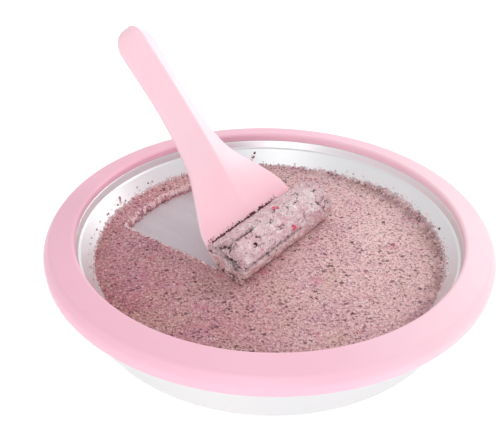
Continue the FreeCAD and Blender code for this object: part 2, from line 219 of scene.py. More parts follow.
class Paint:
    """The node tree of one material, with its Principled shader."""

    def __init__(self, name, **constants):
        self.material = bpy.data.materials.new(name)
        self.material.use_nodes = True
        self.tree = self.material.node_tree
        self.shader = self.tree.nodes["Principled BSDF"]
        for key, value in constants.items():
            self.shader.inputs[key.replace("_", " ")].default_value = value
        coordinates = self.node("ShaderNodeTexCoord")
        self.place = self.scaled(coordinates.outputs["Object"], (1 / MM, 1 / MM, 1 / MM))

    def node(self, kind, settings=None, inputs=None):
        made = self.tree.nodes.new(kind)
        for key, value in (settings or {}).items():
            setattr(made, key, value)
        for key, value in (inputs or {}).items():
            self.link(value, made.inputs[key])
        return made

    def link(self, value, socket):
        if isinstance(value, Num):
            value = value.socket
        if isinstance(value, bpy.types.NodeSocket):
            self.tree.links.new(value, socket)
        elif isinstance(value, (tuple, list)) and len(value) == 3 and len(socket.default_value) == 4:
            socket.default_value = (*value, 1.0)
        else:
            socket.default_value = value

    def scaled(self, vector, factors):
        made = self.node("ShaderNodeVectorMath", {"operation": "MULTIPLY"}, {0: vector, 1: factors})
        return made.outputs[0]

    def turned(self, degrees, stretch=(1, 1, 1)):
        """The place in millimetres, turned about Z and then stretched."""
        made = self.node(
            "ShaderNodeVectorRotate", {"rotation_type": "Z_AXIS"},
            {"Vector": self.place, "Angle": math.radians(degrees)})
        return self.scaled(made.outputs[0], stretch)

    def axis(self, name, vector=None):
        made = self.node("ShaderNodeSeparateXYZ", None, {0: vector or self.place})
        return Num(self, made.outputs[name])

    def radius(self):
        """Distance from the pan's axis in millimetres."""
        flat = self.scaled(self.place, (1, 1, 0))
        made = self.node("ShaderNodeVectorMath", {"operation": "LENGTH"}, {0: flat})
        return Num(self, made.outputs["Value"])

    def noise(self, size, detail=2.0, roughness=0.5, vector=None, distortion=0.0):
        """Noise between 0 and 1 whose lumps are about size millimetres."""
        made = self.node("ShaderNodeTexNoise", None, {
            "Vector": vector or self.place, "Scale": 1 / size, "Detail": detail,
            "Roughness": roughness, "Distortion": distortion})
        return Num(self, made.outputs[0])

    def cells(self, size, randomness=1.0, vector=None):
        """Distance from, and random number of, the nearest of scattered points."""
        made = self.node("ShaderNodeTexVoronoi", None, {
            "Vector": vector or self.place, "Scale": 1 / size, "Randomness": randomness})
        chance = self.node("ShaderNodeSeparateColor", None, {0: made.outputs["Color"]})
        return Num(self, made.outputs["Distance"]), Num(self, chance.outputs[0])

    def specks(self, size, share, radius, vector=None):
        """Mask of scattered dots: share of the cells hold one, up to radius cells wide."""
        distance, chance = self.cells(size, vector=vector)
        present = chance.ramp(1 - share, 1 - share + 0.05)
        return (radius - distance).ramp(0, radius * 0.5) * present

    def mix(self, factor, first, second, blend="MIX"):
        made = self.node("ShaderNodeMix", {"data_type": "RGBA", "blend_type": blend}, {0: factor})
        self.link(first, made.inputs[6])
        self.link(second, made.inputs[7])
        return made.outputs[2]

    def bump(self, height, distance, strength=1.0, normal=None):
        inputs = {"Height": height, "Distance": distance, "Strength": strength}
        if normal is not None:
            inputs["Normal"] = normal
        return self.node("ShaderNodeBump", None, inputs).outputs[0]

    def attribute(self, name):
        made = self.node("ShaderNodeAttribute", {"attribute_name": name})
        return Num(self, made.outputs["Fac"])

    def feed(self, **inputs):
        for key, value in inputs.items():
            self.link(value, self.shader.inputs[key.replace("_", " ")])
        return self.material


def moulded_plastic(name, colour, roughness=0.34, subsurface=0.15, pale_and_painted_highlight=None, tone_ramp=False):
    """Injection-moulded plastic: a soft skin with faint flow marks and handling wear."""
    paint = Paint(
        name, Subsurface_Weight=subsurface, Subsurface_Radius=(0.004, 0.002, 0.002),
        Subsurface_Scale=1.0, IOR=1.49, Specular_IOR_Level=0.38)
    clouds = paint.noise(38, detail=2)
    skin = paint.noise(0.55, detail=3, roughness=0.6)
    scuffs = paint.noise(6, detail=6, roughness=0.7)
    deeper = tuple(channel * factor for channel, factor in zip(colour, (0.97, 0.90, 0.92)))
    tone = paint.mix(clouds.ramp(0.35, 0.7, 0.0, 0.5), colour, deeper)
    # With tone_ramp the colour goes deeper towards the left and paler towards the right: painted shade on the left
    # and painted light on the right.
    if tone_ramp:
        tone = paint.mix(paint.axis("X").ramp(70, -115, 0.0, 0.9), tone, deeper)
        tone = paint.mix(paint.axis("X").ramp(20, 118, 0.0, 0.34), tone, srgb(255, 236, 238))
    # On the scraper the depth attribute carries a painted highlight on the handle's right flank, and makes the handle
    # and the blade's side edges paler.
    if pale_and_painted_highlight:
        tone = paint.mix(paint.attribute("depth"), tone, pale_and_painted_highlight)
    return paint.feed(
        Base_Color=tone,
        Roughness=roughness + 0.08 * skin + 0.10 * scuffs.ramp(0.5, 0.75),
        Normal=paint.bump(skin * 0.6 + clouds * 0.8, 0.00004, 0.35))


def base_plastic(name, colour):
    """White polypropylene that lets a little light through."""
    paint = Paint(
        name, Subsurface_Weight=0.35, Subsurface_Radius=(0.006, 0.006, 0.006),
        Subsurface_Scale=1.0, IOR=1.49, Specular_IOR_Level=0.4)
    clouds = paint.noise(45, detail=2)
    skin = paint.noise(0.8, detail=3, roughness=0.6)
    cool = tuple(channel * factor for channel, factor in zip(colour, (0.94, 0.97, 0.98)))
    return paint.feed(
        Base_Color=paint.mix(clouds.ramp(0.35, 0.7, 0.0, 0.7), colour, cool),
        Roughness=0.38 + 0.12 * skin,
        Normal=paint.bump(skin + clouds, 0.00005, 0.3))


def spun_aluminium(name, colour, floor_z):
    """Satin aluminium: rings from spinning, a frost film and scrape marks on the floor."""
    paint = Paint(name, Metallic=1.0)
    radius = paint.radius()
    height = paint.axis("Z")
    on_floor = (floor_z + 1.0 - height).ramp(0.0, 0.8)
    push = math.degrees(math.atan2(PUSH.y, PUSH.x))
    streaks = paint.noise(1.0, detail=4, roughness=0.65, vector=paint.turned(-push, (0.02, 0.55, 0.4)))
    broad = paint.noise(1.0, detail=2, vector=paint.turned(-push, (0.012, 0.09, 0.1)))
    rings = ((radius * 5.2 + paint.noise(9, detail=2) * 3).sine() * 0.5 + 0.5)
    frost = paint.noise(7, detail=5, roughness=0.7)
    smudges = paint.noise(2.6, detail=5, roughness=0.75)
    scratches = paint.noise(1.0, detail=2, distortion=0.6, vector=paint.turned(28 - push, (0.11, 0.9, 1.0)))
    haze = on_floor * (0.36 + 0.14 * streaks.ramp(0.42, 0.68) + 0.3 * smudges.ramp(0.48, 0.7))
    haze = haze + on_floor * 0.9 * scratches.ramp(0.61, 0.67)
    haze = haze + (1 - on_floor) * 0.12 * frost
    tint = paint.mix(
        on_floor * broad.ramp(0.3, 0.7, 0.55, 0.7), colour, srgb(184, 170, 178))
    return paint.feed(
        Base_Color=paint.mix(haze * 0.55, tint, srgb(222, 214, 220)),
        Metallic=1.0 - 0.55 * haze,
        Roughness=0.30 + 0.10 * rings * (1 - on_floor) + 0.26 * haze + 0.06 * frost,
        Normal=paint.bump(rings * 0.25 * (1 - on_floor) + streaks * on_floor, 0.00006, 0.5))


def frozen_mix(name, settings):
    """Frozen berry mix: pale milk ice full of skins, seeds and ice grains."""
    paint = Paint(
        name, Subsurface_Weight=0.12, Subsurface_Radius=(0.002, 0.001, 0.001),
        Subsurface_Scale=1.0, IOR=1.33, Specular_IOR_Level=0.4)
    # Darker towards the left and front, lighter towards the right and back: painted shadow on the left and front and
    # painted light on the right and back, with cloudy random tone laid over it. The pale grain and the ice specks
    # grow brighter with it too.
    across = paint.axis("X").ramp(-100, 70)
    clouds = paint.noise(30, detail=2)
    warm = paint.noise(19, detail=3, roughness=0.6)
    patches = paint.noise(5.5, detail=3, roughness=0.65)
    grain = paint.noise(1.5, detail=5, roughness=0.8)
    threads = paint.noise(1.5, detail=3, roughness=0.7, distortion=1.6)
    backwards = paint.axis("Y").ramp(-90, 60)
    shade = (0.55 * across + 0.28 * backwards + 0.5 * clouds + 0.3 * patches - 0.27).at_least(0).at_most(1)
    colour = paint.mix(shade, settings.dark[:], settings.light[:])
    colour = paint.mix(warm.ramp(0.50, 0.66, 0.0, 0.42), colour, srgb(206, 168, 152))
    colour = paint.mix(warm.ramp(0.47, 0.34, 0.0, 0.36), colour, srgb(190, 132, 158))
    pale = paint.mix(shade, srgb(222, 168, 176), srgb(255, 236, 232))
    clusters = patches.ramp(0.36, 0.62)
    colour = paint.mix(grain.ramp(0.51, 0.62) * (1.0 - 0.55 * clusters), colour, pale)
    colour = paint.mix(grain.ramp(0.49, 0.38) * (0.4 + 0.55 * clusters), colour, srgb(108, 58, 74))
    colour = paint.mix(threads.ramp(0.44, 0.35, 0.0, 0.7), colour, srgb(112, 60, 78))
    fine = paint.specks(1.2, 0.36, 0.36)
    middling = paint.specks(2.1, 0.30, 0.40, paint.turned(35, (0.7, 1.0, 1.0)))
    large = paint.specks(4.0, 0.20, 0.34, paint.turned(-20, (0.75, 1.0, 1.0)))
    dark = fine.at_least(middling).at_least(large)
    colour = paint.mix(dark * (patches * 1.3 + 0.05).at_most(1), colour, settings.speck[:])
    # Ice grains, stronger where the painted light is.
    ice = paint.specks(1.8, 0.3, 0.36)
    colour = paint.mix(ice * (0.35 + 0.45 * shade), colour, srgb(255, 244, 240))
    berries = paint.specks(9.0, 0.24, 0.15)
    colour = paint.mix(berries * 0.45, colour, settings.fruit[:])
    stains = paint.noise(15, detail=4, roughness=0.7)
    colour = paint.mix(stains.ramp(0.56, 0.70, 0.0, 0.5), colour, srgb(196, 88, 118))
    # Brownish band near the wall on the right, broken up by noise: painted shade of the wall-side slope.
    painted_wall_shade = paint.radius().ramp(86, 96) * paint.axis("X").ramp(10, 80) * patches.ramp(0.3, 0.6)
    colour = paint.mix(painted_wall_shade * 0.6, colour, srgb(136, 98, 100))
    colour = paint.mix(paint.attribute("depth").ramp(0.1, 0.7, 0.0, 0.85), colour, srgb(255, 226, 228))
    colour = paint.mix(paint.attribute("depth").ramp(-0.25, -1.0, 0.0, 0.8), colour, srgb(226, 210, 216))
    return paint.feed(
        Base_Color=colour,
        Roughness=0.45 + 0.3 * grain - 0.2 * berries,
        Normal=paint.bump(grain * 1.1 + ice * 0.4 - dark * 0.5 + patches * 0.5, 0.0006, 0.85))


def rolled_mix(name, settings, cracked=True):
    """The same mix pressed smooth by the scraper: paler, with fewer skins showing, near-white patches as painted
    highlights and its cracks painted dark as shade.
    """
    paint = Paint(
        name, Subsurface_Weight=0.15, Subsurface_Radius=(0.002, 0.001, 0.001),
        Subsurface_Scale=1.0, IOR=1.33, Specular_IOR_Level=0.4)
    clouds = paint.noise(11, detail=3)
    patches = paint.noise(4, detail=4, roughness=0.7)
    grain = paint.noise(0.9, detail=4, roughness=0.75)
    threads = paint.noise(2.4, detail=4, roughness=0.6, distortion=2.2)
    low = paint.axis("Z").ramp(41, 34)
    colour = paint.mix(clouds.ramp(0.38, 0.62), srgb(232, 190, 198), srgb(238, 212, 216))
    colour = paint.mix(low * 0.75, colour, srgb(226, 178, 172))
    # Near-white patches placed by noise: painted highlights standing in for lit rims.
    colour = paint.mix(patches.ramp(0.5, 0.68, 0.0, 0.85), colour, srgb(255, 240, 242))
    colour = paint.mix(patches.ramp(0.46, 0.3, 0.0, 0.6), colour, srgb(200, 150, 166))
    colour = paint.mix(grain.ramp(0.45, 0.28, 0.0, 0.75), colour, srgb(146, 98, 112))
    colour = paint.mix(grain.ramp(0.53, 0.68, 0.0, 0.85), colour, srgb(255, 246, 246))
    colour = paint.mix(threads.ramp(0.41, 0.35, 0.0, 0.75), colour, srgb(112, 62, 78))
    small = paint.specks(1.6, 0.15, 0.35)
    large = paint.specks(4.5, 0.2, 0.2)
    dark = small.at_least(large)
    colour = paint.mix(dark * 0.8, colour, settings.speck[:])
    berries = paint.specks(7.5, 0.16, 0.16)
    colour = paint.mix(berries * 0.85, colour, settings.fruit[:])
    if cracked:
        # Cracks, seams and the end's hollow are painted near-black: painted shade in the recesses.
        colour = paint.mix(paint.attribute("depth").ramp(0.1, 0.8, 0.0, 0.94), colour, srgb(58, 28, 38))
    return paint.feed(
        Base_Color=colour,
        Roughness=0.42 + 0.3 * grain,
        Normal=paint.bump(grain * 1.0 + patches * 1.7 + threads * 0.8 - dark * 0.3, 0.0007, 0.85))


def crumb_mix(name, settings):
    """Loose crumbs, most of them pale and some of them dark skins."""
    paint = Paint(
        name, Subsurface_Weight=0.15, Subsurface_Radius=(0.002, 0.001, 0.001), IOR=1.33, Specular_IOR_Level=0.4)
    _, chance = paint.cells(1.6)
    grain = paint.noise(0.6, detail=3)
    colour = paint.mix(grain.ramp(0.35, 0.65), srgb(240, 212, 212), srgb(255, 240, 240))
    colour = paint.mix(chance.ramp(0.62, 0.7, 0.0, 0.8), colour, srgb(160, 104, 112))
    colour = paint.mix(chance.ramp(0.86, 0.9, 0.0, 0.9), colour, settings.speck[:])
    return paint.feed(
        Base_Color=colour, Roughness=0.45 + 0.3 * grain, Normal=paint.bump(grain, 0.0003, 0.7))


def soft_rubber(name, colour, roughness=0.6):
    """Rubber or silicone with a fine moulded grain."""
    paint = Paint(name, Subsurface_Weight=0.05, Specular_IOR_Level=0.35)
    grain = paint.noise(0.4, detail=4, roughness=0.7)
    dust = paint.noise(5, detail=4)
    paler = tuple(min(1.0, channel * 1.25) for channel in colour)
    return paint.feed(
        Base_Color=paint.mix(dust.ramp(0.5, 0.7, 0.0, 0.5), colour, paler),
        Roughness=roughness + 0.15 * grain,
        Normal=paint.bump(grain, 0.00005, 0.5))


def zinc_steel(name):
    """Zinc-plated screw steel."""
    paint = Paint(name, Metallic=1.0)
    spangle = paint.noise(0.7, detail=3)
    stain = paint.noise(3, detail=3)
    return paint.feed(
        Base_Color=paint.mix(stain.ramp(0.4, 0.7), srgb(196, 198, 202), srgb(164, 166, 170)),
        Roughness=0.28 + 0.2 * spangle,
        Normal=paint.bump(spangle, 0.00003, 0.4))


def cold_gel(name):
    """Pale blue coolant gel."""
    paint = Paint(name, Subsurface_Weight=0.4, Subsurface_Radius=(0.004, 0.006, 0.009))
    clouds = paint.noise(18, detail=3)
    return paint.feed(
        Base_Color=paint.mix(clouds.ramp(0.35, 0.7), srgb(150, 196, 222), srgb(180, 214, 230)),
        Roughness=0.25 + 0.1 * clouds,
        Normal=paint.bump(clouds, 0.0002, 0.3))


# ---- mesh helpers ----------------------------------------------------------------
def rounded(points, steps=6):
    """Closed outline through (x, z) or (x, z, corner radius), with its corners as arcs."""
    outline = []
    count = len(points)
    for index, point in enumerate(points):
        here = Vector(point[:2])
        if len(point) < 3 or point[2] <= 0:
            outline.append(here)
            continue
        back = (Vector(points[index - 1][:2]) - here).normalized()
        on = (Vector(points[(index + 1) % count][:2]) - here).normalized()
        half_angle = back.angle(on) / 2
        centre = here + (back + on).normalized() * (point[2] / math.sin(half_angle))
        start = here + back * (point[2] / math.tan(half_angle)) - centre
        finish = here + on * (point[2] / math.tan(half_angle)) - centre
        for step in range(steps + 1):
            outline.append(centre + start.slerp(finish, step / steps) * point[2])
    return outline


def finished(name, vertices, faces, material, body, replaced=(), sharp_angle=35, depths=None):
    """One piece from millimetre vertices, smooth but for its sharp edges."""
    mesh = bpy.data.meshes.new(name)
    mesh.from_pydata([(x * MM, y * MM, z * MM) for x, y, z in vertices], [], faces)
    mesh.validate()
    mesh.update()
    if depths:
        mesh.attributes.new("depth", "FLOAT", "POINT").data.foreach_set("value", depths)
    clean = bmesh.new()
    clean.from_mesh(mesh)
    bmesh.ops.recalc_face_normals(clean, faces=clean.faces)
    clean.to_mesh(mesh)
    clean.free()
    mesh.shade_smooth()
    mesh.set_sharp_from_angle(angle=math.radians(sharp_angle))
    mesh.materials.append(material)
    piece = bpy.data.objects.new(name, mesh)
    bpy.context.scene.collection.objects.link(piece)
    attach(piece, body)
    if replaced:
        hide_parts(*replaced)
    return piece


def grid_faces(rows, columns, wrap_rows=False, wrap_columns=False):
    """Quads between neighbouring rows of vertices."""
    faces = []
    for row in range(rows if wrap_rows else rows - 1):
        for column in range(columns if wrap_columns else columns - 1):
            next_row = (row + 1) % rows
            next_column = (column + 1) % columns
            faces.append((
                row * columns + column, row * columns + next_column,
                next_row * columns + next_column, next_row * columns + column))
    return faces


def spun(outline, segments=256):
    """Vertices and faces of a closed outline turned about the pan's axis."""
    vertices = []
    for segment in range(segments):
        angle = 2 * math.pi * segment / segments
        for radius, height in outline:
            vertices.append((radius * math.cos(angle), radius * math.sin(angle), height))
    return vertices, grid_faces(segments, len(outline), wrap_rows=True, wrap_columns=True)


def blend_rows(rows, place):
    """Row of numbers at a place along a table, by a smooth curve through its rows."""
    last = len(rows) - 1
    index = min(max(sum(1 for row in rows if row[0] <= place) - 1, 0), last - 1)
    first, second = rows[index], rows[index + 1]
    before, after = rows[max(index - 1, 0)], rows[min(index + 2, last)]
    span = second[0] - first[0]
    t = (place - first[0]) / span
    values = []
    for column in range(1, len(first)):
        slope_in = (second[column] - before[column]) / (second[0] - before[0]) * span
        slope_out = (after[column] - first[column]) / (after[0] - first[0]) * span
        values.append(
            (2 * t ** 3 - 3 * t ** 2 + 1) * first[column] + (t ** 3 - 2 * t ** 2 + t) * slope_in
            + (3 * t ** 2 - 2 * t ** 3) * second[column] + (t ** 3 - t ** 2) * slope_out)
    return values


def lumps(point, size, octaves=3):
    """Fractal noise about zero, whose lumps are about size millimetres."""
    return noise.fractal(Vector(point) / size, 0.7, 2.1, octaves)


def smooth_step(low, high, value):
    t = min(max((value - low) / (high - low), 0.0), 1.0)
    return t * t * (3 - 2 * t)


# ---- the pan's pieces --------------------------------------------------------------
def build_rim(settings):
    rim, pan = settings.rim, settings.pan
    flange_top = 44.0
    shoulder_radius, shoulder_height, crown = 119.2, 46.3, RIM_HIGH[2] + 0.25
    low = RIM_LOW[2]
    outline = rounded([
        (rim.bore, flange_top, 0.25),
        (rim.bore, crown, 1.9),
        (shoulder_radius, shoulder_height, 4.5),
        (rim.radius, 41.5, 5.0),
        (rim.radius - 0.4, low, 0.7),
        (rim.radius - 0.4 - rim.wall, low, 0.7),
        (rim.radius - rim.wall, 41.0, 3.0),
        (shoulder_radius - 1.3, shoulder_height - rim.wall, 2.5),
        (rim.bore + rim.wall, crown - rim.wall, 0.5),
        (rim.bore + rim.wall, flange_top, 0.25),
    ], steps=8)
    vertices, faces = spun(outline, 320)
    # The ring gets the painted shade on its left and the painted light on its right.
    pink = moulded_plastic("rim_pink", rim.colour[:], tone_ramp=True)
    return finished("rim", vertices, faces, pink, PAN_BODY, ("trim_ring",), 60)


def pan_height(settings, radius):
    """Height of the pan's upper face at a radius inside its ledge."""
    return FLOOR_Z + max(radius - settings.pan.floor_radius, 0) * math.tan(settings.pan.slope)


def build_pan(settings):
    rim, pan = settings.rim, settings.pan
    ledge_radius = pan.floor_radius + (pan.ledge - FLOOR_Z) / math.tan(pan.slope)
    flange_radius, flange_top = 113.4, 44.0
    lower = pan.sheet
    side = pan.sheet * math.tan(pan.slope / 2)
    outline = rounded([
        (0.0, FLOOR_Z),
        (pan.floor_radius, FLOOR_Z, 3.5),
        (ledge_radius, pan.ledge, 0.6),
        (ledge_radius + 1.2, pan.ledge + 0.6, 0.7),
        (rim.bore + 0.1, flange_top, 0.9),
        (flange_radius, flange_top, 0.3),
        (flange_radius, flange_top - lower, 0.3),
        (rim.bore + 1.1, flange_top - lower, 0.4),
        (ledge_radius + 2.0, pan.ledge - 0.7, 0.5),
        (ledge_radius + 0.9, pan.ledge - 1.2, 0.8),
        (pan.floor_radius + side, FLOOR_Z - lower, 4.5),
        (0.0, FLOOR_Z - lower),
    ], steps=7)
    vertices, faces = spun(outline, 320)
    metal = spun_aluminium("pan_aluminium", pan.colour[:], FLOOR_Z)
    piece = finished("pan", vertices, faces, metal, PAN_BODY, ("freezing_pan",), 60)
    weld = bmesh.new()
    weld.from_mesh(piece.data)
    bmesh.ops.remove_doubles(weld, verts=weld.verts, dist=1e-6)
    weld.to_mesh(piece.data)
    weld.free()
    return piece


CAD_FINISHES = {
    "base_shell": lambda s: base_plastic("base_white", s.rim.base_colour[:]),
    "filler_plug": lambda s: base_plastic("plug_white", s.rim.base_colour[:]),
    "pan_gasket": lambda s: soft_rubber("gasket_silicone", srgb(214, 214, 210), 0.45),
    "filler_washer": lambda s: soft_rubber("washer_silicone", srgb(206, 206, 202), 0.45),
    "coolant_gel": lambda s: cold_gel("coolant_gel_blue"),
    "case_screws": lambda s: zinc_steel("screw_zinc"),
    "foot": lambda s: soft_rubber("foot_rubber_grey", srgb(168, 168, 168)),
}


def finish_fittings(settings):
    """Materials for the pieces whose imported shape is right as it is."""
    made = {}
    for node, piece in frame["nodes"].items():
        key = "foot" if node.startswith("foot_") else node
        if key not in CAD_FINISHES:
            continue
        made.setdefault(key, CAD_FINISHES[key](settings))
        piece.data.materials.clear()
        piece.data.materials.append(made[key])


# ---- the scraper -------------------------------------------------------------------
# Along the scraper: distance, half width, back face, thickness at the sides, crest.
SCRAPER_SECTIONS = [
    (0.0, 39.0, 0.0, 0.8, 0.8),
    (12.0, 39.0, 0.0, 1.5, 1.5),
    (21.0, 37.8, 0.0, 1.8, 1.9),
    (28.0, 34.6, -0.2, 1.9, 2.2),
    (35.0, 30.4, -0.9, 2.0, 2.6),
    (42.0, 26.0, -1.9, 2.1, 3.2),
    (50.0, 20.9, -3.2, 2.2, 4.2),
    (58.0, 17.4, -4.3, 2.3, 5.0),
    (70.0, 14.8, -5.0, 2.4, 5.5),
    (84.0, 13.5, -5.0, 2.5, 5.8),
    (98.0, 12.9, -5.0, 2.5, 6.0),
    (114.0, 13.3, -5.0, 2.5, 6.0),
    (130.0, 13.9, -5.0, 2.5, 5.8),
    (146.0, 13.9, -5.0, 2.5, 5.4),
]
POCKET_START, POCKET_END, RIB_PITCH, RIB_THICKNESS = 70.0, 130.0, 17.0, 1.6
BLADE_MIDDLE = (-3.6, 17.2)
BLADE_LIFT = 0.3


def scraper_stations(length, cap):
    """Distances along the scraper, close together where its shape turns."""
    places = [0.0, 0.3, 0.8, 1.4, 2.0]
    places += [2.0 + 1.5 * step for step in range(1, int((length - cap - 2.0) / 1.5) + 1)]
    places += [length - cap + cap * math.sin(math.radians(6 * step)) for step in range(15)]
    edges = [POCKET_START, POCKET_END]
    rib = POCKET_START + RIB_PITCH
    while rib < POCKET_END - 2:
        edges += [rib, rib + RIB_THICKNESS]
        rib += RIB_PITCH
    places += [edge + side for edge in edges for side in (-0.25, 0.25)]
    return sorted(set(round(place, 3) for place in places)), edges


def in_pocket(place, edges):
    """True between the pocket's ends where no rib crosses it."""
    if not POCKET_START < place < POCKET_END:
        return False
    ribs = edges[2:]
    return not any(ribs[i] < place < ribs[i + 1] for i in range(0, len(ribs), 2))


def build_scraper(settings):
    own = settings.scraper
    cap = own.handle_half
    stations, edges = scraper_stations(own.length, cap)
    front_steps, back_steps = 40, 20
    vertices = []
    pale_and_painted_highlight = []
    origin = Vector((*BLADE_MIDDLE, FLOOR_Z + BLADE_LIFT))
    columns = 0
    for place in stations:
        half, back, side, crest = blend_rows(SCRAPER_SECTIONS, place)
        past = max(place - (own.length - cap), 0.0) / cap
        half *= math.sqrt(max(1 - past ** 2, 0.0025))
        end = max(place - (own.length - 8.0), 0.0) / 8.0
        round_end = math.sqrt(max(1 - end ** 2, 0.0))
        if place < 2.0:
            half -= 2.0 - math.sqrt(4.0 - (2.0 - place) ** 2)
        shoulder = back + side
        crest = shoulder + max(crest - shoulder, 0.0) * (0.15 + 0.85 * round_end)
        edge = min(0.9, side * 0.48, half * 0.4)
        crest_soft = 0.035 + 0.3 * (1 - smooth_step(30, 55, place))
        flat_end = math.sqrt(1 + crest_soft ** 2) - crest_soft

        def front(across):
            x = abs(across) / max(half, 0.01)
            return shoulder + (crest - shoulder) * (1 - (math.sqrt(x * x + crest_soft ** 2) - crest_soft) / flat_end)

        ring = []
        inner = half - edge
        for step in range(front_steps + 1):
            across = inner * (2 * step / front_steps - 1)
            ring.append((across, front(across)))
        for angle in (60, 30, 0):
            ring.append((inner + edge * math.cos(math.radians(angle)),
                         shoulder - edge + edge * math.sin(math.radians(angle))))
        for angle in (0, -30, -60, -90):
            ring.append((inner + edge * math.cos(math.radians(angle)),
                         back + edge + edge * math.sin(math.radians(angle))))
        lip = max(half - own.wall, half * 0.5)
        step_in = min(0.3, lip * 0.3)
        hollow = in_pocket(place, edges)
        across_back = [lip, lip - step_in]
        across_back += [(lip - step_in) * (1 - 2 * step / back_steps) for step in range(1, back_steps)]
        across_back += [-(lip - step_in), -lip]
        for index, across in enumerate(across_back):
            deep = hollow and 0 < index < len(across_back) - 1
            ring.append((across, front(across) - own.wall if deep else back))
        for angle in (-90, -120, -150, -180):
            ring.append((-inner + edge * math.cos(math.radians(angle)),
                         back + edge + edge * math.sin(math.radians(angle))))
        for angle in (180, 150, 120):
            ring.append((-inner + edge * math.cos(math.radians(angle)),
                         shoulder - edge + edge * math.sin(math.radians(angle))))
        columns = len(ring)
        narrow = smooth_step(34, 62, place)
        for across, out in ring:
            point = origin + BLADE * across + HANDLE_AXIS * place + FACE * out
            vertices.append(point[:])
            # Painted highlight on the right flank of the handle, fading into the blade; the handle as a whole and the
            # blade's side edges are made paler too.
            flank = smooth_step(0.0, 1.2, across) * smooth_step(shoulder - edge - 0.1, shoulder - edge, out)
            skirt = 0.5 * smooth_step(inner - 0.1, inner + 0.3, abs(across)) * (1 - narrow)
            flank *= smooth_step(12, 56, place)
            pale_and_painted_highlight.append(max(0.30 * narrow + 0.42 * flank, skirt))
    faces = grid_faces(len(stations), columns, wrap_columns=True)
    faces.append(tuple(range(columns)))
    faces.append(tuple(range(len(vertices) - columns, len(vertices))))
    pink = moulded_plastic("scraper_pink", own.colour[:], 0.30, 0.2, srgb(255, 234, 242))
    return finished(
        "scraper_body", vertices, faces, pink, SCRAPER_BODY, ("scraper",), 50, pale_and_painted_highlight)


# ---- the ice cream --------------------------------------------------------------------
TRACK_HALF_WIDTH = 41.2
TRACK_END_RADIUS = 85.3
TRACK_FRONT = 2.4


def push_place(x, y):
    """Distances from the blade's middle along the push and along the blade."""
    return (
        (x - BLADE_MIDDLE[0]) * PUSH.x + (y - BLADE_MIDDLE[1]) * PUSH.y,
        (x - BLADE_MIDDLE[0]) * BLADE.x + (y - BLADE_MIDDLE[1]) * BLADE.y)


def from_push(along, across, height):
    point = PUSH * along + BLADE * across
    return (BLADE_MIDDLE[0] + point.x, BLADE_MIDDLE[1] + point.y, height)


def into_track(x, y):
    """How far a point lies inside the scraped track; negative in the ice cream."""
    along, across = push_place(x, y)
    return min(TRACK_HALF_WIDTH - abs(across), TRACK_END_RADIUS - math.hypot(x, y), TRACK_FRONT - along)


BLOCK = 8                   # cells along a side of each large face of the layer's flat underside


def layer_surface(settings, x, y):
    """Top of the ice cream over a point of the pan, or None where it is bare, and how frosty it is."""
    radius = math.hypot(x, y)
    ground = pan_height(settings, radius)
    ragged = 0.9 * lumps((x, y, 0), 3.2) + 0.5 * lumps((x, y, 5), 1.1, 2)
    away = -into_track(x, y) + ragged
    near_wall = smooth_step(88, 95, radius)
    relief = 0.2 * lumps((x, y, 11), 1.3, 3) + 0.3 * lumps((x, y, 23), 7.0, 2)
    relief += near_wall * 0.7 * lumps((x, y, 31), 2.4, 3)
    top = LAYER_Z - 0.15 + relief
    if away > 0 and top > ground:
        along, across = push_place(x, y)
        cut_side = along < TRACK_FRONT - 1
        burr = smooth_step(-0.2, 0.4, away) * (1 - smooth_step(1.0, 2.8, away)) * cut_side
        burr *= max(0.65 + 2.3 * lumps((x, y, 71), 1.1, 3), 0.0)
        return ground + (top + 0.6 * burr - ground) * min(away / 0.9, 1.0) ** 0.5, burr
    film, tone_ramp = 0.0, 0.0
    if radius > 93:
        azimuth = math.degrees(math.atan2(y, x))
        smeared = smooth_step(112, 122, azimuth) * (1 - smooth_step(160, 172, azimuth))
        crusted = smooth_step(-25, 0, azimuth) * (1 - smooth_step(40, 60, azimuth))
        climb = 95.8 + 0.8 * lumps((x, y, 41), 3.0) + 0.7 * smeared + 1.2 * crusted
        tone_ramp = smooth_step(climb - 2.4, climb + 1.6, radius)
        film = (1 - smooth_step(climb - 1.2, climb + 1.8, radius)) * (0.75 + 0.6 * lumps((x, y, 47), 1.5, 3))
    elif away <= 0:
        film = smooth_step(3.2, 0.0, -away) * (1.5 * lumps((x, y, 61), 1.5) - 0.3)
    return (ground + film, -tone_ramp) if film > 0.12 else (None, 0.0)


